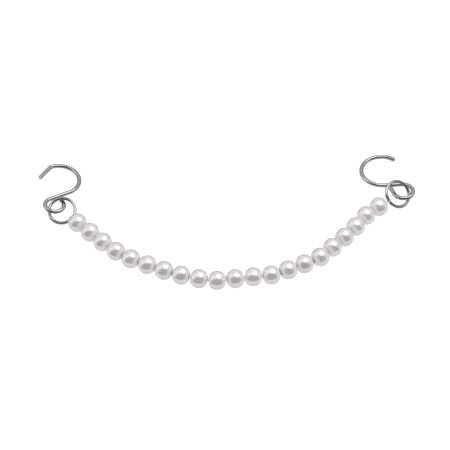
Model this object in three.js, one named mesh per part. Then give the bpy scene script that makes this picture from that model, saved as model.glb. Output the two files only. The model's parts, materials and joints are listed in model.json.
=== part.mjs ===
// A pearl tie chain: imitation pearl beads strung on one thread, which ends in a loop round a
// jump ring on each side. An S-shaped wire hook hangs in each ring. The chain lies on a flat
// surface in a shallow curve, as it falls when it is put down.
// Millimetres and degrees. +Z is up, +X runs along the chain from the left hook to the right
// hook, and the belly of the curve points to -Y.
import * as THREE from 'three';

// Beads: balls drilled along the thread. Each end of the hole comes out in a shallow cone, so
// that neighbours sit closer than two full balls could, and still have room to bend.
const BEAD_COUNT = 21;
const BEAD_RADIUS = 3;
const BEAD_PITCH = 5.6;           // centre to centre on a straight thread
const BEAD_SIDES = 16;
const BEAD_BANDS = 9;             // odd, so that one band lies flat along the bead's waist
const CONE_RADIUS = 1.66;         // where the cone meets the ball
const HOLE_RADIUS = 0.6;
const HOLE_MOUTH = 2.66;          // from the bead's centre along the hole

// Direction of the hole through each bead as the chain lies, left to right, from +X to +Y.
const BEAD_HEADINGS = [
  -45, -42, -46, -37, -28, -22, -24, -15, -13, -1, 15,
  0, 14, 29, 21, 37, 52, 42, 57, 49, 33,
];
const MIDDLE_BEAD = 10;
const MIDDLE_BEAD_PLACE = new THREE.Vector3(3.1, -23.8, BEAD_RADIUS);

// Thread: it has a break at each gap between two beads, where the chain bends.
const THREAD_RADIUS = 0.19;
const THREAD_BREAK = 0.12;
const THREAD_STRAND_OFFSET = 0.28; // each strand of an end loop from the hole's axis
const LOOP_CLEARANCE = 0.1;        // between the thread and the ring's wire
const LOOP_WRAP = 120;             // degrees each side that the loop lies round that wire
const LOOP_WRAP_STEP = 30;
const LOOP_STEPS = 34;

// Wire of the hooks and rings.
const WIRE_SIDES = 8;
const RING_RADIUS = 4.1;           // to the middle of the wire
const RING_WIRE_RADIUS = 0.5;
const RING_SPLIT = 0.25;           // width of the butt joint where the ring was closed
const RING_STEPS = 36;
const HOOK_WIRE_RADIUS = 0.65;
const HOOK_STEPS = 60;
const TIP_BEND_RADIUS = 1.2;

// Each end of the chain. A ring or a hook lies in a plane that leans down towards a compass
// direction `leansTo` by `lean` degrees. `splitAt` and `threadAt` are directions round the ring.
// A hook is given by the place of its eye and the direction from its eye to its open bow, then
// by its wire from the tip to the eye's end: lengths, bend radii and bend angles.
const LEFT_END = {
  name: 'left',
  beadIndex: 0,
  outward: -1,
  ring: { x: -51, y: 4.2, lean: 21, leansTo: -102, splitAt: 185, threadAt: -46 },
  hook: {
    x: -53.42, y: 6.06, z: 2.54, heading: 85, lean: 7.5, leansTo: 37, side: -1,
    tip: 6, tipBend: 34, bowRadius: 6.3, bow: 174, shank: 6.8, eyeRadius: 2.95, eye: 276, end: 0.9,
  },
};
const RIGHT_END = {
  name: 'right',
  beadIndex: BEAD_COUNT - 1,
  outward: 1,
  ring: { x: 54.3, y: 10.2, lean: 37, leansTo: -43, splitAt: -12, threadAt: -133 },
  hook: {
    x: 56.2, y: 12.16, z: 2.05, heading: 124, lean: 4.4, leansTo: 110, side: 1,
    tip: 2, tipBend: 8, bowRadius: 6.5, bow: 205, shank: 5.9, eyeRadius: 3.1, eye: 252, end: 2.8,
  },
};

const PEARL = { color: 0xdcdadb, roughness: 0.22, metalness: 0 };
const THREAD = { color: 0xd9d5dd, roughness: 0.4, metalness: 0 };
const NICKEL = { color: 0xc8c6c3, roughness: 0.15, metalness: 1 };

const radians = THREE.MathUtils.degToRad;

function makeMesh(name, geometry, finish) {
  const mesh = new THREE.Mesh(geometry, new THREE.MeshStandardMaterial(finish));
  mesh.name = name;
  return mesh;
}

// A regular polygon round a circle, so that its flats touch the circle.
function polygonRadius(radius, sides) {
  return radius / Math.cos(Math.PI / sides);
}

function wireSection(radius) {
  const corner = polygonRadius(radius, WIRE_SIDES);
  const points = [];
  for (let i = 0; i < WIRE_SIDES; i += 1) {
    const angle = (2 * Math.PI * (i + 0.5)) / WIRE_SIDES;
    points.push(new THREE.Vector2(corner * Math.cos(angle), corner * Math.sin(angle)));
  }
  return new THREE.Shape(points);
}

function wireAlong(path, radius, steps) {
  return new THREE.ExtrudeGeometry(wireSection(radius), { extrudePath: path, steps });
}

// A wire bent in the XY plane from the origin: stretches of { length, turn }, where turn is the
// angle in radians that the wire turns through over that length, positive to the left.
class BentWire extends THREE.Curve {
  constructor(stretches) {
    super();
    this.stretches = stretches;
    this.fullLength = stretches.reduce((sum, stretch) => sum + stretch.length, 0);
  }

  // The place and heading after a distance along the wire.
  walk(distance) {
    const place = new THREE.Vector3();
    let heading = 0;
    let left = distance;
    for (const { length, turn } of this.stretches) {
      const step = Math.min(left, length);
      const turned = (turn * step) / length;
      if (turn === 0) {
        place.x += step * Math.cos(heading);
        place.y += step * Math.sin(heading);
      } else {
        const radius = length / turn;
        place.x += radius * (Math.sin(heading + turned) - Math.sin(heading));
        place.y -= radius * (Math.cos(heading + turned) - Math.cos(heading));
      }
      heading += turned;
      left -= step;
    }
    return { place, heading };
  }

  getPoint(t) {
    return this.walk(t * this.fullLength).place;
  }

  // The point that a round stretch of the wire bends round.
  centreOf(stretch) {
    const earlier = this.stretches.slice(0, this.stretches.indexOf(stretch));
    const { place, heading } = this.walk(earlier.reduce((sum, { length }) => sum + length, 0));
    const toLeft = new THREE.Vector3(-Math.sin(heading), Math.cos(heading), 0);
    return place.addScaledVector(toLeft, stretch.length / stretch.turn);
  }
}

function straight(length) {
  return { length, turn: 0 };
}

function bend(radius, angle) {
  return { length: radius * Math.abs(radians(angle)), turn: radians(angle) };
}

// Turns level geometry so that its plane leans down towards a compass direction.
function leaning({ lean, leansTo }) {
  const direction = radians(leansTo);
  const axis = new THREE.Vector3(-Math.sin(direction), Math.cos(direction), 0);
  return new THREE.Quaternion().setFromAxisAngle(axis, radians(lean));
}

// The bead's outline, closed on itself: a cone at each end, the ball between them, and the
// straight wall of the hole. Its flats touch the true ball at the waist.
function beadGeometry() {
  const shoulder = Math.acos(CONE_RADIUS / BEAD_RADIUS);
  const bandAngle = (2 * shoulder) / BEAD_BANDS;
  const waist = polygonRadius(BEAD_RADIUS, BEAD_SIDES) / Math.cos(bandAngle / 2);
  const outline = [new THREE.Vector2(HOLE_RADIUS, -HOLE_MOUTH)];
  for (let i = 0; i <= BEAD_BANDS; i += 1) {
    const angle = -shoulder + i * bandAngle;
    outline.push(new THREE.Vector2(waist * Math.cos(angle), BEAD_RADIUS * Math.sin(angle)));
  }
  outline.push(new THREE.Vector2(HOLE_RADIUS, HOLE_MOUTH));
  outline.push(outline[0].clone());
  const geometry = new THREE.LatheGeometry(outline, BEAD_SIDES);
  geometry.rotateY(Math.PI / BEAD_SIDES);
  return geometry.rotateZ(-Math.PI / 2);
}

function threadSegmentGeometry() {
  const length = BEAD_PITCH - THREAD_BREAK;
  const corner = polygonRadius(THREAD_RADIUS, WIRE_SIDES);
  return new THREE.CylinderGeometry(corner, corner, length, WIRE_SIDES).rotateZ(-Math.PI / 2);
}

// Bead centres: neighbours meet half a pitch out from each centre along its own heading.
function beadPlaces() {
  const directions = BEAD_HEADINGS.map(
    (heading) => new THREE.Vector3(Math.cos(radians(heading)), Math.sin(radians(heading)), 0),
  );
  const places = [new THREE.Vector3()];
  for (let i = 1; i < BEAD_COUNT; i += 1) {
    const step = directions[i - 1].clone().add(directions[i]).multiplyScalar(BEAD_PITCH / 2);
    places.push(places[i - 1].clone().add(step));
  }
  const shift = MIDDLE_BEAD_PLACE.clone().sub(places[MIDDLE_BEAD]);
  return places.map((place) => place.add(shift));
}

function ringMesh(end) {
  const { ring } = end;
  const fullTurn = 360 - THREE.MathUtils.radToDeg(RING_SPLIT / RING_RADIUS);
  const wire = new BentWire([bend(RING_RADIUS, fullTurn)]);
  const geometry = wireAlong(wire, RING_WIRE_RADIUS, RING_STEPS);
  geometry.translate(0, -RING_RADIUS, 0);
  geometry.rotateZ(radians(ring.splitAt + 90));
  const mesh = makeMesh(`${end.name}_jump_ring`, geometry, NICKEL);
  mesh.quaternion.copy(leaning(ring));
  mesh.position.copy(ringCentre(ring));
  return mesh;
}

// The ring's low side rests on the surface.
function ringCentre(ring) {
  const rise = RING_RADIUS * Math.sin(radians(ring.lean));
  return new THREE.Vector3(ring.x, ring.y, polygonRadius(RING_WIRE_RADIUS, WIRE_SIDES) + rise);
}

// From the tip round the open bow, along the shank and round the small eye the other way.
function hookGeometry(hook) {
  const tipBend = bend(TIP_BEND_RADIUS, hook.side * hook.tipBend);
  const bow = bend(hook.bowRadius, hook.side * hook.bow);
  const eye = bend(hook.eyeRadius, -hook.side * hook.eye);
  const wire = new BentWire([
    straight(hook.tip), tipBend, bow, straight(hook.shank), eye, straight(hook.end),
  ]);
  const eyeCentre = wire.centreOf(eye);
  const toBow = wire.centreOf(bow).sub(eyeCentre);
  const geometry = wireAlong(wire, HOOK_WIRE_RADIUS, HOOK_STEPS);
  geometry.translate(-eyeCentre.x, -eyeCentre.y, 0);
  return geometry.rotateZ(-Math.atan2(toBow.y, toBow.x));
}

function hookMesh(end) {
  const { hook } = end;
  const mesh = makeMesh(`${end.name}_s_hook`, hookGeometry(hook).rotateZ(radians(hook.heading)), NICKEL);
  mesh.quaternion.copy(leaning(hook));
  mesh.position.set(hook.x, hook.y, hook.z);
  return mesh;
}

// The thread of an end bead runs out of the hole, round the ring's wire and back into the hole,
// where its knot is hidden. The points are in the bead's own frame.
function endThreadGeometry(end, beadGroup) {
  const { ring } = end;
  const direction = radians(ring.threadAt);
  const spoke = new THREE.Vector3(Math.cos(direction), Math.sin(direction), 0);
  const tangent = new THREE.Vector3(-spoke.y, spoke.x, 0).applyQuaternion(leaning(ring));
  const wireCentre = spoke.applyQuaternion(leaning(ring)).multiplyScalar(RING_RADIUS);
  wireCentre.add(ringCentre(ring));
  const toBead = beadGroup.matrixWorld.clone().invert();
  wireCentre.applyMatrix4(toBead);
  tangent.transformDirection(toBead);

  const out = new THREE.Vector3(end.outward, 0, 0);
  const mouth = out.clone().multiplyScalar(HOLE_MOUTH + THREAD_RADIUS);
  const away = wireCentre.clone().sub(mouth);
  away.addScaledVector(tangent, -away.dot(tangent)).normalize();
  const aside = tangent.clone().cross(away).normalize();
  const asideInHole = aside.clone().addScaledVector(out, -aside.dot(out));
  asideInHole.setLength(THREAD_STRAND_OFFSET);

  const wrapRadius = polygonRadius(RING_WIRE_RADIUS, WIRE_SIDES) + LOOP_CLEARANCE + THREAD_RADIUS;
  const points = [
    out.clone().multiplyScalar(-(BEAD_PITCH - THREAD_BREAK) / 2),
    out.clone().multiplyScalar(-HOLE_MOUTH / 2),
    asideInHole.clone(),
    mouth.clone().add(asideInHole),
  ];
  for (let angle = LOOP_WRAP; angle >= -LOOP_WRAP; angle -= LOOP_WRAP_STEP) {
    const turn = radians(angle);
    points.push(wireCentre.clone()
      .addScaledVector(away, wrapRadius * Math.cos(turn))
      .addScaledVector(aside, wrapRadius * Math.sin(turn)));
  }
  points.push(mouth.clone().sub(asideInHole));
  points.push(out.clone().multiplyScalar(HOLE_MOUTH / 3).sub(asideInHole));
  const path = new THREE.CatmullRomCurve3(points, false, 'centripetal');
  return wireAlong(path, THREAD_RADIUS, LOOP_STEPS);
}

function beadNumber(index) {
  return String(index + 1).padStart(2, '0');
}

function layChain() {
  const chain = new THREE.Group();
  const ends = [LEFT_END, RIGHT_END];
  beadPlaces().forEach((place, index) => {
    const beadGroup = new THREE.Group();
    beadGroup.position.copy(place);
    beadGroup.rotation.z = radians(BEAD_HEADINGS[index]);
    beadGroup.updateMatrixWorld();
    beadGroup.add(makeMesh(`pearl_${beadNumber(index)}`, beadGeometry(), PEARL));
    const end = ends.find(({ beadIndex }) => beadIndex === index);
    const thread = end ? endThreadGeometry(end, beadGroup) : threadSegmentGeometry();
    beadGroup.add(makeMesh(`thread_${beadNumber(index)}`, thread, THREAD));
    chain.add(beadGroup);
  });
  for (const end of ends) {
    chain.add(ringMesh(end), hookMesh(end));
  }
  return chain;
}

// The origin is under the middle of the whole chain, on the surface that it lies on.
function centred(chain) {
  const box = new THREE.Box3().setFromObject(chain, true);
  const middle = box.getCenter(new THREE.Vector3());
  chain.position.set(-middle.x, -middle.y, -box.min.z);
  const part = new THREE.Group();
  part.add(chain);
  return part;
}

export default centred(layChain());
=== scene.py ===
"""The looks of a pearl tie chain, built round its CAD frame: imitation pearl beads on one thread,
and at each end a jump ring in a loop of the thread and an S-shaped wire hook in the ring.
Metres and degrees, +Z up. The chain lies on the floor at z = 0."""

import json
import math

import bmesh
import bpy
from mathutils import Matrix, Quaternion, Vector


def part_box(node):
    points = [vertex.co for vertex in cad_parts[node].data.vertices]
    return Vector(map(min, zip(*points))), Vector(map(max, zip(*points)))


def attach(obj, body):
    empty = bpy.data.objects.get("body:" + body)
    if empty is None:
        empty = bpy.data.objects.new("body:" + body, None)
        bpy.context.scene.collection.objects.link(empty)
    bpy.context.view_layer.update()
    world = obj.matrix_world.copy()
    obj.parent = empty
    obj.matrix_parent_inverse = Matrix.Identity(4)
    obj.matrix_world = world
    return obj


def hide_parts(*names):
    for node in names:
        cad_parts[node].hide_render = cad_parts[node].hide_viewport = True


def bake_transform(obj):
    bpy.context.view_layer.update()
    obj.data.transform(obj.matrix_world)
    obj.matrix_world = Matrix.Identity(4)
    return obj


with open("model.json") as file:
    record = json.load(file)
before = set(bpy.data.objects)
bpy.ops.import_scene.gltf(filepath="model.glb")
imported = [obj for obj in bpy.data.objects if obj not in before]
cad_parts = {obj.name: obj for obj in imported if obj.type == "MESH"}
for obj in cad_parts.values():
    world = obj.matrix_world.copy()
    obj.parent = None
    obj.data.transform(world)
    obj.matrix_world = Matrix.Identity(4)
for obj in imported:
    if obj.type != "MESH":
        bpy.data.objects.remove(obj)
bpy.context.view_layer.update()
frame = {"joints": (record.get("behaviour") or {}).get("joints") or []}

MM = 0.001

# Beads, as in the CAD: balls whose holes come out in a shallow cone at each end.
BEAD_COUNT = 21
BEAD_RADIUS = 3.0 * MM
CONE_RADIUS = 1.66 * MM       # where the cone meets the ball
HOLE_RADIUS = 0.6 * MM
HOLE_MOUTH = 2.66 * MM        # from the bead's centre along the hole
HOLE_LIP = 0.12 * MM          # rounded edge of the hole, where the lacquer gathers
SHOULDER_ROUNDING = 0.45 * MM
BEAD_SIDES = 96
BEAD_BANDS = 56
PAINTED_LIGHT_FADE = (2.7, 2.1)      # millimetres from the hole's axis over which the lustre fades and the painted light at the bead's ends comes in
HOLE_END_PAINTED_LIGHT = (0.985, 0.98, 0.985)                   # painted light: whiter round the ends of the hole, lifting the shade where neighbouring beads meet
MIDDLE_BEAD = 11
MIDDLE_BEAD_PLACE = Vector((3.1, -23.8, 3.0)) * MM   # where the CAD source puts it

# Thread: three plies twisted together.
THREAD_RADIUS = 0.19 * MM
THREAD_PLIES = 3
THREAD_TWIST = 1.1 * MM       # length of one full turn of the plies
PLY_GROOVE = 0.2              # depth of the grooves between plies, as a share of the radius
THREAD_SIDES = 24
THREAD_STEP = 0.09 * MM
THREAD_BREAK = 0.04 * MM      # between two pieces of thread inside a bead
STRAND_OFFSET = 0.28 * MM     # each strand of an end loop from the hole's axis
STRAND_START = 0.3 * MM       # from the end bead's centre along the hole
STRAND_MIDDLE = 1.5 * MM
LOOP_RADIUS = 0.831 * MM      # from the middle of the ring's wire to the middle of the thread
LOOP_WRAP = 120               # how far the loop goes round the ring's wire to each side
LOOP_WRAP_STEP = 30

# Wire.
RING_RADIUS = 4.1 * MM
RING_WIRE_RADIUS = 0.5 * MM
RING_SPLIT = 0.16 * MM        # width of the butt joint where the ring was closed
HOOK_WIRE_RADIUS = 0.65 * MM
TIP_BEND_RADIUS = 1.2 * MM
WIRE_SIDES = 40
WIRE_STEP = 0.16 * MM
CUT_BEVEL = 0.07 * MM

# Each end. A ring or hook lies in a plane that leans down towards a compass direction
# `leans_to` by `lean` degrees. `split_at` is a direction round the ring. A hook is given by the
# place of its eye and the direction from its eye to its open bow, then by its wire from the tip
# to the eye's end: lengths and bend radii in millimetres, and bend angles.
ENDS = {
    "left": {
        "bead": 1,
        "ring": {"lean": 21, "leans_to": -102, "split_at": 185},
        "hook": {
            "eye_place": (-53.42, 6.06, 2.54), "heading": 85, "lean": 7.5, "leans_to": 37,
            "side": -1, "tip": 6, "tip_bend": 34, "bow_radius": 6.3, "bow": 174,
            "shank": 6.8, "eye_radius": 2.95, "eye": 276, "end": 0.9,
        },
    },
    "right": {
        "bead": BEAD_COUNT,
        "ring": {"lean": 37, "leans_to": -43, "split_at": -12},
        "hook": {
            "eye_place": (56.2, 12.16, 2.05), "heading": 124, "lean": 4.4, "leans_to": 110,
            "side": 1, "tip": 2, "tip_bend": 8, "bow_radius": 6.5, "bow": 205,
            "shank": 5.9, "eye_radius": 3.1, "eye": 252, "end": 2.8,
        },
    },
}

# Camera: a long lens from above the belly of the curve.
CAMERA_ELEVATION = 50
CAMERA_DISTANCE = 0.7
CAMERA_TARGET = Vector((-0.32, -0.57, 0)) * MM
VIEW_WIDTH = 0.140625
SENSOR = 36

# A round soft box overhead, tilted a little away from the camera and to the right.
SOFT_BOX_SIZE = 0.6
SOFT_BOX_DISTANCE = 0.6
SOFT_BOX_TO_BACK = 5
SOFT_BOX_TO_RIGHT = 18
SOFT_BOX_POWER = 1.22

# The room by direction. Pairs are the start and end of a change along +X, +Y or +Z.
LEFT_WALL = (1.1, 1.1, 1.12)
RIGHT_WALL = (0.7, 0.7, 0.71)
LEFT_TO_RIGHT = (-0.5, 0.5)
BACK_WALL = (0.74, 0.75, 0.78)
BACK_WALL_LOW = (0.24, 0.23, 0.23)
DARKNESS = (0.035, 0.02, 0.012)
FRONT_DARK = (-0.12, -0.5)
BACK_START = (0.15, 0.5)
BACK_DARK_TOP = (0.12, 0.34)
TABLE_EDGE = (-0.24, -0.1)
TABLE_MIRRORED = (0.82, 0.82, 0.84)
TABLE_SHADED = (0.60, 0.59, 0.59)    # close under the chain
SHADED_START = (-0.5, -0.9)
TABLE_LIGHT = (0.95, 0.94, 0.95)
SKY_LIGHT = (0.48, 0.45, 0.44)
BACKDROP = (0.95, 0.95, 0.95)

FLOOR_REACH = 3.0
FLOOR_DROP = 0.02 * MM        # just under the lowest beads

joints = {joint["name"]: joint for joint in frame["joints"]}


# ---------------------------------------------------------------- materials

def new_material(name):
    """A material with its node tree, and the tree's own shader."""
    material = bpy.data.materials.new(name)
    material.use_nodes = True
    return material, material.node_tree, material.node_tree.nodes["Principled BSDF"]


def noise_node(tree, scale, detail=3, distortion=0):
    """Noise in the piece's own coordinates."""
    where = tree.nodes.new("ShaderNodeTexCoord")
    node = tree.nodes.new("ShaderNodeTexNoise")
    node.inputs["Scale"].default_value = scale
    node.inputs["Detail"].default_value = detail
    node.inputs["Distortion"].default_value = distortion
    tree.links.new(where.outputs["Object"], node.inputs["Vector"])
    return node


def ramp_between(tree, source, stops):
    """A factor turned into colours, through stops of (position, colour)."""
    ramp = tree.nodes.new("ShaderNodeValToRGB")
    elements = ramp.color_ramp.elements
    while len(elements) < len(stops):
        elements.new(1)
    for element, (position, colour) in zip(elements, stops):
        element.position = position
        element.color = (*colour, 1)
    tree.links.new(source, ramp.inputs["Fac"])
    return ramp.outputs["Color"]


def ramp_to(tree, source, target, stops):
    """Feeds a socket with colours from a factor, through stops of (position, colour)."""
    tree.links.new(ramp_between(tree, source, stops), target)


def range_to(tree, source, target, low, high):
    """Feeds a socket from a factor, whose middle part is spread from low to high."""
    spread = tree.nodes.new("ShaderNodeMapRange")
    spread.inputs["From Min"].default_value = 0.3
    spread.inputs["From Max"].default_value = 0.7
    spread.inputs["To Min"].default_value = low
    spread.inputs["To Max"].default_value = high
    tree.links.new(source, spread.inputs["Value"])
    tree.links.new(spread.outputs["Result"], target)


def bump_to(tree, source, shader, strength, depth):
    """Raises the surface by a height source."""
    bump = tree.nodes.new("ShaderNodeBump")
    bump.inputs["Strength"].default_value = strength
    bump.inputs["Distance"].default_value = depth
    tree.links.new(source, bump.inputs["Height"])
    tree.links.new(bump.outputs["Normal"], shader.inputs["Normal"])


def smooth_step(tree, source, start, end):
    """0 before start, 1 after end, smooth between. Start may be the larger."""
    step = tree.nodes.new("ShaderNodeMapRange")
    step.interpolation_type = "SMOOTHSTEP"
    step.inputs["From Min"].default_value = start
    step.inputs["From Max"].default_value = end
    tree.links.new(source, step.inputs["Value"])
    return step.outputs["Result"]


def colour_mix(tree, factor, first, second):
    """A mix of two colours, each either given or coming from another node."""
    mix = tree.nodes.new("ShaderNodeMixRGB")
    tree.links.new(factor, mix.inputs["Fac"])
    for name, colour in (("Color1", first), ("Color2", second)):
        if isinstance(colour, tuple):
            mix.inputs[name].default_value = (*colour, 1)
        else:
            tree.links.new(colour, mix.inputs[name])
    return mix.outputs["Color"]


def pearl_material():
    """Pearl lacquer: pale, softly mirror-like under a clear coat, with faint cloudiness. Round the
    ends of the hole it is less mirror-like, and its colour is painted whiter there: painted light
    that lifts the shade where neighbouring beads meet."""
    material, tree, shader = new_material("pearl_lacquer")
    shader.inputs["Subsurface Weight"].default_value = 0.5
    shader.inputs["Subsurface Radius"].default_value = (0.0009, 0.0008, 0.0008)
    shader.inputs["Subsurface Scale"].default_value = 1
    shader.inputs["Coat Weight"].default_value = 0.5
    shader.inputs["Coat Roughness"].default_value = 0.08
    shader.inputs["Coat IOR"].default_value = 1.5
    where = tree.nodes.new("ShaderNodeUVMap")
    from_axis = tree.nodes.new("ShaderNodeSeparateXYZ")
    tree.links.new(where.outputs["UV"], from_axis.inputs["Vector"])
    # Painted light: towards the hole's axis, at the bead's ends, the lustre fades and the colour
    # is mixed towards white, lifting the shade between neighbouring beads.
    dull_and_painted_light_near_hole = smooth_step(tree, from_axis.outputs["Y"], *PAINTED_LIGHT_FADE)
    range_to(tree, dull_and_painted_light_near_hole, shader.inputs["Metallic"], 0.36, 0.05)
    clouds = noise_node(tree, 420, detail=4, distortion=1.2)
    cloudy = ramp_between(tree, clouds.outputs["Fac"], [
        (0.3, (0.92, 0.885, 0.885)),
        (0.5, (0.94, 0.915, 0.915)),
        (0.7, (0.955, 0.94, 0.945)),
    ])
    # Painted light: the bead's ends get a whiter colour than the rest of the pearl.
    colour = colour_mix(tree, dull_and_painted_light_near_hole, cloudy, HOLE_END_PAINTED_LIGHT)
    tree.links.new(colour, shader.inputs["Base Color"])
    patches = noise_node(tree, 900, detail=2)
    range_to(tree, patches.outputs["Fac"], shader.inputs["Roughness"], 0.16, 0.2)
    grain = noise_node(tree, 1100, detail=2)
    bump_to(tree, grain.outputs["Fac"], shader, 0.02, 0.02 * MM)
    return material


def nickel_material():
    """Bright nickel plate with fine drawing lines along the wire. It darkens towards its edges."""
    material, tree, shader = new_material("bright_nickel")
    shader.inputs["Metallic"].default_value = 1
    shader.inputs["Specular Tint"].default_value = (0.02, 0.02, 0.02, 1)
    tone = noise_node(tree, 300, detail=3)
    ramp_to(tree, tone.outputs["Fac"], shader.inputs["Base Color"], [
        (0.35, (0.43, 0.415, 0.4)),
        (0.65, (0.51, 0.495, 0.48)),
    ])
    smears = noise_node(tree, 1500, detail=3, distortion=0.6)
    range_to(tree, smears.outputs["Fac"], shader.inputs["Roughness"], 0.05, 0.1)
    where = tree.nodes.new("ShaderNodeUVMap")
    stretch = tree.nodes.new("ShaderNodeMapping")
    stretch.inputs["Scale"].default_value = (60, 900, 1)
    lines = tree.nodes.new("ShaderNodeTexNoise")
    lines.inputs["Scale"].default_value = 1
    tree.links.new(where.outputs["UV"], stretch.inputs["Vector"])
    tree.links.new(stretch.outputs["Vector"], lines.inputs["Vector"])
    bump_to(tree, lines.outputs["Fac"], shader, 0.06, 0.02 * MM)
    return material


def cut_end_material():
    """The sheared end of the plated wire: greyer and rougher."""
    material, tree, shader = new_material("cut_wire_end")
    shader.inputs["Metallic"].default_value = 1
    tone = noise_node(tree, 2500, detail=4)
    ramp_to(tree, tone.outputs["Fac"], shader.inputs["Base Color"], [
        (0.3, (0.60, 0.58, 0.56)),
        (0.7, (0.78, 0.76, 0.75)),
    ])
    range_to(tree, tone.outputs["Fac"], shader.inputs["Roughness"], 0.3, 0.5)
    bump_to(tree, tone.outputs["Fac"], shader, 0.3, 0.03 * MM)
    return material


def thread_material():
    """Pale nylon that light soaks into."""
    material, tree, shader = new_material("nylon_thread")
    shader.inputs["Subsurface Weight"].default_value = 0.7
    shader.inputs["Subsurface Radius"].default_value = (0.0005, 0.0005, 0.0005)
    shader.inputs["Subsurface Scale"].default_value = 1
    shader.inputs["IOR"].default_value = 1.53
    tone = noise_node(tree, 1800, detail=3)
    ramp_to(tree, tone.outputs["Fac"], shader.inputs["Base Color"], [
        (0.3, (0.88, 0.86, 0.90)),
        (0.7, (0.96, 0.95, 0.98)),
    ])
    range_to(tree, tone.outputs["Fac"], shader.inputs["Roughness"], 0.28, 0.42)
    bump_to(tree, tone.outputs["Fac"], shader, 0.15, 0.02 * MM)
    return material


PEARL = pearl_material()
NICKEL = nickel_material()
CUT_END = cut_end_material()
NYLON = thread_material()


# ---------------------------------------------------------------- mesh helpers

def new_piece(name, mesh, materials):
    """An object in the scene, made of a mesh and its materials."""
    for material in materials:
        mesh.materials.append(material)
    piece = bpy.data.objects.new(name, mesh)
    bpy.context.scene.collection.objects.link(piece)
    return piece


def lathe(name, outline, sides):
    """Turns a closed outline of (along, out) points round the X axis. Its UV map holds the turn
    and the distance from the axis in millimetres."""
    build = bmesh.new()
    uv_layer = build.loops.layers.uv.new("UVMap")
    rings = []
    for along, out in outline:
        ring = []
        for i in range(sides):
            angle = 2 * math.pi * i / sides
            ring.append(build.verts.new((along, out * math.cos(angle), out * math.sin(angle))))
        rings.append(ring)
    for k, ring in enumerate(rings):
        following = rings[(k + 1) % len(rings)]
        for i in range(sides):
            j = (i + 1) % sides
            face = build.faces.new((ring[i], following[i], following[j], ring[j]))
            face.smooth = True
            corners = ((i, k), (i, k + 1), (i + 1, k + 1), (i + 1, k))
            for loop, (turn, station) in zip(face.loops, corners):
                out = outline[station % len(outline)].y
                loop[uv_layer].uv = (turn / sides, out / MM)
    bmesh.ops.recalc_face_normals(build, faces=build.faces)
    mesh = bpy.data.meshes.new(name)
    build.to_mesh(mesh)
    build.free()
    return mesh


def evenly(path, step):
    """The points of a path at even steps along it."""
    lengths = [0.0]
    for a, b in zip(path, path[1:]):
        lengths.append(lengths[-1] + (b - a).length)
    count = max(2, round(lengths[-1] / step))
    points = []
    k = 0
    for i in range(count + 1):
        wanted = lengths[-1] * i / count
        while k < len(path) - 2 and lengths[k + 1] < wanted:
            k += 1
        share = (wanted - lengths[k]) / (lengths[k + 1] - lengths[k])
        points.append(path[k].lerp(path[k + 1], share))
    return points


def sweep(name, path, sides, section, end_bevel=0.0):
    """Runs a section along a path. section(along, angle) is the radius. The ends are flat caps
    with a small bevel. Caps take the second material. The UV map holds the distance along the
    path in millimetres and the turn."""
    bevel_start = path[0].lerp(path[1], 0.5)
    bevel_end = path[-1].lerp(path[-2], 0.5)
    points = [path[0], bevel_start, *path[1:-1], bevel_end, path[-1]]
    build = bmesh.new()
    uv_layer = build.loops.layers.uv.new("UVMap")
    tangent = (points[1] - points[0]).normalized()
    across = tangent.orthogonal().normalized()
    rings = []
    travelled = []
    along = 0.0
    for k, point in enumerate(points):
        before = points[max(k - 1, 0)]
        after = points[min(k + 1, len(points) - 1)]
        along += (point - before).length
        travelled.append(along)
        heading = (after - before).normalized()
        across = (tangent.rotation_difference(heading) @ across).normalized()
        tangent = heading
        up = tangent.cross(across)
        inset = end_bevel if k in (0, len(points) - 1) else 0.0
        ring = []
        for i in range(sides):
            angle = 2 * math.pi * i / sides
            radius = section(along, angle) - inset
            offset = across * math.cos(angle) + up * math.sin(angle)
            ring.append(build.verts.new(point + radius * offset))
        rings.append(ring)
    for k in range(len(rings) - 1):
        for i in range(sides):
            j = (i + 1) % sides
            face = build.faces.new((rings[k][i], rings[k][j], rings[k + 1][j], rings[k + 1][i]))
            face.smooth = True
            corners = ((i, k), (i + 1, k), (i + 1, k + 1), (i, k + 1))
            for loop, (turn, station) in zip(face.loops, corners):
                loop[uv_layer].uv = (travelled[station] / MM, turn / sides)
    for ring in (rings[0], rings[-1]):
        cap = build.faces.new(ring)
        cap.material_index = 1
        for edge in cap.edges:
            edge.smooth = False
    bmesh.ops.recalc_face_normals(build, faces=build.faces)
    mesh = bpy.data.meshes.new(name)
    build.to_mesh(mesh)
    build.free()
    return mesh


def round_wire(radius):
    return lambda along, angle: radius


def twisted_thread(along, angle):
    """The outline of the twisted plies."""
    turned = THREAD_PLIES * (angle - 2 * math.pi * along / THREAD_TWIST) / 2
    return THREAD_RADIUS * (1 - PLY_GROOVE + PLY_GROOVE * abs(math.cos(turned)))


# ---------------------------------------------------------------- places from the CAD

def two_digits(number):
    return f"{number:02d}"


def bead_centre(number):
    low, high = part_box(f"pearl_{two_digits(number)}")
    return (low + high) / 2


def gap_place(number):
    """The middle of the gap between a bead and the next, where the thread bends."""
    return Vector(joints[f"bend_{two_digits(number)}_{two_digits(number + 1)}"]["pos_m"])


def bead_direction(number):
    """The direction of the bead's hole, from left to right."""
    if number < BEAD_COUNT:
        return (gap_place(number) - bead_centre(number)).normalized()
    return (bead_centre(number) - gap_place(number - 1)).normalized()


def leaning(plane):
    """The turn that makes a level plane lean as a ring or hook says."""
    direction = math.radians(plane["leans_to"])
    axis = Vector((-math.sin(direction), math.cos(direction), 0))
    return Quaternion(axis, math.radians(plane["lean"]))


# ---------------------------------------------------------------- beads

def curve_between(start, corner, end):
    """The points after start along a curve to end that rounds off the corner between them."""
    steps = 10
    points = []
    for i in range(1, steps + 1):
        share = i / steps
        points.append(start.lerp(corner, share).lerp(corner.lerp(end, share), share))
    return points


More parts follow.
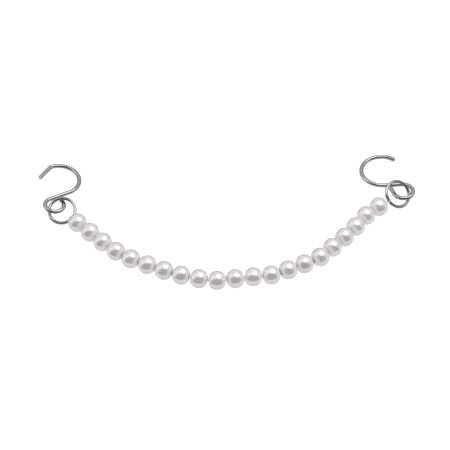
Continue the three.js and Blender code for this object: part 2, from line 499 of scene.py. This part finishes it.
def bead_outline():
    """The bead from hole to hole over its outside, then back through its hole. The shoulder
    between ball and cone and the lip of the hole are rounded."""
    shoulder = math.acos(CONE_RADIUS / BEAD_RADIUS)
    cone_along = BEAD_RADIUS * math.sin(shoulder)
    slope = (HOLE_MOUTH - cone_along) / (CONE_RADIUS - HOLE_RADIUS)
    rounding = SHOULDER_ROUNDING / BEAD_RADIUS
    bands = BEAD_BANDS // 2
    outside = []
    for i in range(bands + 1):
        angle = (shoulder - rounding) * i / bands
        outside.append(Vector((BEAD_RADIUS * math.sin(angle), BEAD_RADIUS * math.cos(angle))))
    corner = Vector((cone_along, CONE_RADIUS))
    down_cone = Vector((slope, -1)).normalized()
    outside += curve_between(outside[-1], corner, corner + down_cone * SHOULDER_ROUNDING)
    mouth = Vector((HOLE_MOUTH, HOLE_RADIUS))
    outside.append(mouth - down_cone * HOLE_LIP)
    outside += curve_between(outside[-1], mouth, mouth - Vector((HOLE_LIP, 0)))
    outside += [Vector((HOLE_MOUTH * share, HOLE_RADIUS)) for share in (0.6, 0.3)]
    other_side = [Vector((-along, out)) for along, out in reversed(outside[1:])]
    return outside + [Vector((0, HOLE_RADIUS))] + other_side


def make_bead(number):
    name = two_digits(number)
    piece = new_piece(f"bead_{name}_pearl", lathe("pearl", bead_outline(), BEAD_SIDES), [PEARL])
    turn = Vector((1, 0, 0)).rotation_difference(bead_direction(number))
    piece.data.transform(Matrix.Translation(bead_centre(number)) @ turn.to_matrix().to_4x4())
    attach(piece, f"bead_{name}")
    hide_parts(f"pearl_{name}")


# ---------------------------------------------------------------- thread

def make_thread_between(number):
    """The thread from inside one bead to inside the next. It bends at the gap between them."""
    here, there = two_digits(number), two_digits(number + 1)
    bend = gap_place(number)
    start = bead_centre(number) + bead_direction(number) * THREAD_BREAK / 2
    finish = bead_centre(number + 1) - bead_direction(number + 1) * THREAD_BREAK / 2
    path = evenly([start, bend, finish], THREAD_STEP)
    mesh = sweep("thread", path, THREAD_SIDES, twisted_thread)
    piece = new_piece(f"thread_{here}_to_{there}", mesh, [NYLON, NYLON])
    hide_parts(f"thread_{there}")
    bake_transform(piece)


def smooth_path(points):
    """A centripetal Catmull-Rom curve through the points."""
    steps = 12
    first = points[0] * 2 - points[1]
    last = points[-1] * 2 - points[-2]
    guides = [first, *points, last]
    path = []
    for k in range(1, len(guides) - 2):
        p = guides[k - 1:k + 3]
        t = [0.0]
        for a, b in zip(p, p[1:]):
            t.append(t[-1] + math.sqrt((b - a).length))
        for i in range(steps):
            now = t[1] + (t[2] - t[1]) * i / steps
            first_mix = mix_at(p[0], p[1], t[0], t[1], now)
            middle_mix = mix_at(p[1], p[2], t[1], t[2], now)
            last_mix = mix_at(p[2], p[3], t[2], t[3], now)
            earlier = mix_at(first_mix, middle_mix, t[0], t[2], now)
            later = mix_at(middle_mix, last_mix, t[1], t[3], now)
            path.append(mix_at(earlier, later, t[1], t[2], now))
    path.append(points[-1])
    return path


def mix_at(a, b, start, end, now):
    """The mix of a at start and b at end, taken at now."""
    return a.lerp(b, (now - start) / (end - start))


def make_end_loop(side, end):
    """The thread from the end bead round the ring's wire and back into the bead."""
    number = end["bead"]
    flap = joints[f"{side}_ring_flap"]
    wire_centre = Vector(flap["pos_m"])
    tangent = Vector(flap["axis"])
    centre = bead_centre(number)
    out = bead_direction(number) * (-1 if side == "left" else 1)
    mouth = centre + out * (HOLE_MOUTH + THREAD_RADIUS)
    away = wire_centre - mouth
    away = (away - tangent * away.dot(tangent)).normalized()
    aside = tangent.cross(away).normalized()
    in_hole = (aside - out * aside.dot(out)).normalized() * STRAND_OFFSET
    points = [
        centre + out * STRAND_START + in_hole,
        centre + out * STRAND_MIDDLE + in_hole,
        mouth + in_hole,
    ]
    for angle in range(LOOP_WRAP, -LOOP_WRAP - 1, -LOOP_WRAP_STEP):
        turn = math.radians(angle)
        round_wire_place = away * math.cos(turn) + aside * math.sin(turn)
        points.append(wire_centre + LOOP_RADIUS * round_wire_place)
    points += [
        mouth - in_hole,
        centre + out * STRAND_MIDDLE - in_hole,
        centre + out * STRAND_START - in_hole,
    ]
    path = evenly(smooth_path(points), THREAD_STEP)
    mesh = sweep("end_loop", path, THREAD_SIDES, twisted_thread)
    piece = new_piece(f"thread_loop_{side}", mesh, [NYLON, NYLON])
    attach(piece, f"strand_{two_digits(number)}")
    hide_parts(f"thread_{two_digits(number)}")


# ---------------------------------------------------------------- rings and hooks

def bent_wire(stretches):
    """The path in the XY plane of a wire of (length, turn) stretches, from the origin, and the
    centre of each round stretch."""
    place = Vector((0, 0, 0))
    heading = 0.0
    path = [place.copy()]
    centres = []
    for length, turn in stretches:
        steps = max(2, math.ceil(length / WIRE_STEP))
        start, first = place.copy(), heading
        for i in range(1, steps + 1):
            turned = turn * i / steps
            if turn == 0:
                ahead = Vector((math.cos(first), math.sin(first), 0)) * length * i / steps
            else:
                ahead = Vector((
                    math.sin(first + turned) - math.sin(first),
                    math.cos(first) - math.cos(first + turned), 0,
                )) * length / turn
            path.append(start + ahead)
        if turn:
            centres.append(start + Vector((-math.sin(first), math.cos(first), 0)) * length / turn)
        place = path[-1].copy()
        heading = first + turn
    return path, centres


def straight(length):
    return length, 0.0


def bend(radius, degrees):
    return radius * abs(math.radians(degrees)), math.radians(degrees)


def make_ring(side, end):
    plane = end["ring"]
    swing = joints[f"{side}_hook_swing"]
    full_turn = 360 - math.degrees(RING_SPLIT / RING_RADIUS)
    path, _ = bent_wire([bend(RING_RADIUS, full_turn)])
    mesh = sweep("jump_ring", path, WIRE_SIDES, round_wire(RING_WIRE_RADIUS), CUT_BEVEL)
    mesh.transform(
        Matrix.Translation(Vector(swing["pos_m"]))
        @ leaning(plane).to_matrix().to_4x4()
        @ Matrix.Rotation(math.radians(plane["split_at"] + 90), 4, "Z")
        @ Matrix.Translation((0, -RING_RADIUS, 0))
    )
    piece = new_piece(f"{side}_ring_wire", mesh, [NICKEL, CUT_END])
    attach(piece, f"{side}_ring")
    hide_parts(f"{side}_jump_ring")


def make_hook(side, end):
    hook = end["hook"]
    turn = hook["side"]
    path, centres = bent_wire([
        straight(hook["tip"] * MM),
        bend(TIP_BEND_RADIUS, turn * hook["tip_bend"]),
        bend(hook["bow_radius"] * MM, turn * hook["bow"]),
        straight(hook["shank"] * MM),
        bend(hook["eye_radius"] * MM, -turn * hook["eye"]),
        straight(hook["end"] * MM),
    ])
    _, bow_centre, eye_centre = centres
    to_bow = bow_centre - eye_centre
    shift = bead_centre(MIDDLE_BEAD) - MIDDLE_BEAD_PLACE
    mesh = sweep("s_hook", path, WIRE_SIDES, round_wire(HOOK_WIRE_RADIUS), CUT_BEVEL)
    mesh.transform(
        Matrix.Translation(Vector(hook["eye_place"]) * MM + shift)
        @ leaning(hook).to_matrix().to_4x4()
        @ Matrix.Rotation(math.radians(hook["heading"]) - math.atan2(to_bow.y, to_bow.x), 4, "Z")
        @ Matrix.Translation(-eye_centre)
    )
    piece = new_piece(f"{side}_hook_wire", mesh, [NICKEL, CUT_END])
    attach(piece, f"{side}_hook")
    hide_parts(f"{side}_s_hook")


# ---------------------------------------------------------------- studio

def make_floor():
    """A plain white sweep, so bright that it shows no shadow. The light that it sends up to the
    chain comes from the surroundings, so that it can be softer."""
    far = FLOOR_REACH
    mesh = bpy.data.meshes.new("floor")
    corners = [(-far, -far, 0), (far, -far, 0), (far, far, 0), (-far, far, 0)]
    mesh.from_pydata(corners, [], [(0, 1, 2, 3)])
    material, tree, shader = new_material("white_sweep")
    shader.inputs["Base Color"].default_value = (0.85, 0.85, 0.85, 1)
    shader.inputs["Roughness"].default_value = 1
    shader.inputs["Specular IOR Level"].default_value = 0
    shader.inputs["Emission Color"].default_value = (1, 1, 1, 1)
    shader.inputs["Emission Strength"].default_value = 0.75
    floor = new_piece("floor", mesh, [material])
    floor.location.z = -FLOOR_DROP
    floor.visible_diffuse = False
    floor.visible_glossy = False
    floor.visible_shadow = False


def make_key_light():
    light = bpy.data.lights.new("overhead_softbox", "AREA")
    light.shape = "DISK"
    light.size = SOFT_BOX_SIZE
    light.energy = SOFT_BOX_POWER
    lamp = bpy.data.objects.new("overhead_softbox", light)
    direction = Vector((0, 0, 1))
    direction.rotate(Quaternion((1, 0, 0), -math.radians(SOFT_BOX_TO_BACK)))
    direction.rotate(Quaternion((0, 1, 0), math.radians(SOFT_BOX_TO_RIGHT)))
    lamp.location = direction * SOFT_BOX_DISTANCE
    lamp.rotation_mode = "QUATERNION"
    lamp.rotation_quaternion = direction.to_track_quat("Z", "Y")
    lamp.visible_camera = False
    bpy.context.scene.collection.objects.link(lamp)


def make_surroundings():
    """The room as the glossy surfaces mirror it: dark on the camera's side and low down behind,
    paler at the sides and above, over a white table. Matt surfaces are lit evenly, and the camera
    sees a white backdrop."""
    world = bpy.data.worlds.new("studio")
    bpy.context.scene.world = world
    world.use_nodes = True
    tree = world.node_tree
    where = tree.nodes.new("ShaderNodeTexCoord")
    direction = tree.nodes.new("ShaderNodeSeparateXYZ")
    tree.links.new(where.outputs["Generated"], direction.inputs["Vector"])
    rays = tree.nodes.new("ShaderNodeLightPath")
    above_table = smooth_step(tree, direction.outputs["Z"], *TABLE_EDGE)
    high_up = smooth_step(tree, direction.outputs["Z"], *BACK_DARK_TOP)
    behind = smooth_step(tree, direction.outputs["Y"], *BACK_START)
    in_front = smooth_step(tree, direction.outputs["Y"], *FRONT_DARK)
    to_right = smooth_step(tree, direction.outputs["X"], *LEFT_TO_RIGHT)
    side_walls = colour_mix(tree, to_right, LEFT_WALL, RIGHT_WALL)
    back_wall = colour_mix(tree, high_up, BACK_WALL_LOW, BACK_WALL)
    walls = colour_mix(tree, behind, side_walls, back_wall)
    room = colour_mix(tree, in_front, walls, DARKNESS)
    close_under = smooth_step(tree, direction.outputs["Z"], *SHADED_START)
    table = colour_mix(tree, close_under, TABLE_MIRRORED, TABLE_SHADED)
    mirrored = colour_mix(tree, above_table, table, room)
    soft = colour_mix(tree, above_table, TABLE_LIGHT, SKY_LIGHT)
    lighting = colour_mix(tree, rays.outputs["Is Diffuse Ray"], mirrored, soft)
    seen = colour_mix(tree, rays.outputs["Is Camera Ray"], lighting, BACKDROP)
    tree.links.new(seen, tree.nodes["Background"].inputs["Color"])


def make_camera():
    data = bpy.data.cameras.new("camera")
    data.sensor_width = SENSOR
    data.lens = SENSOR * CAMERA_DISTANCE / VIEW_WIDTH
    data.clip_start = 0.01
    camera = bpy.data.objects.new("camera", data)
    bpy.context.scene.collection.objects.link(camera)
    elevation = math.radians(CAMERA_ELEVATION)
    back = Vector((0, -math.cos(elevation), math.sin(elevation)))
    camera.location = CAMERA_TARGET + back * CAMERA_DISTANCE
    camera.rotation_mode = "QUATERNION"
    camera.rotation_quaternion = (-back).to_track_quat("-Z", "Y")
    bpy.context.scene.camera = camera


make_camera()
make_floor()
make_key_light()
make_surroundings()
bpy.context.scene.view_settings.view_transform = "Standard"

for bead_number in range(1, BEAD_COUNT + 1):
    make_bead(bead_number)
for bead_number in range(1, BEAD_COUNT):
    make_thread_between(bead_number)
for side_name, end_sizes in ENDS.items():
    make_end_loop(side_name, end_sizes)
    make_ring(side_name, end_sizes)
    make_hook(side_name, end_sizes)
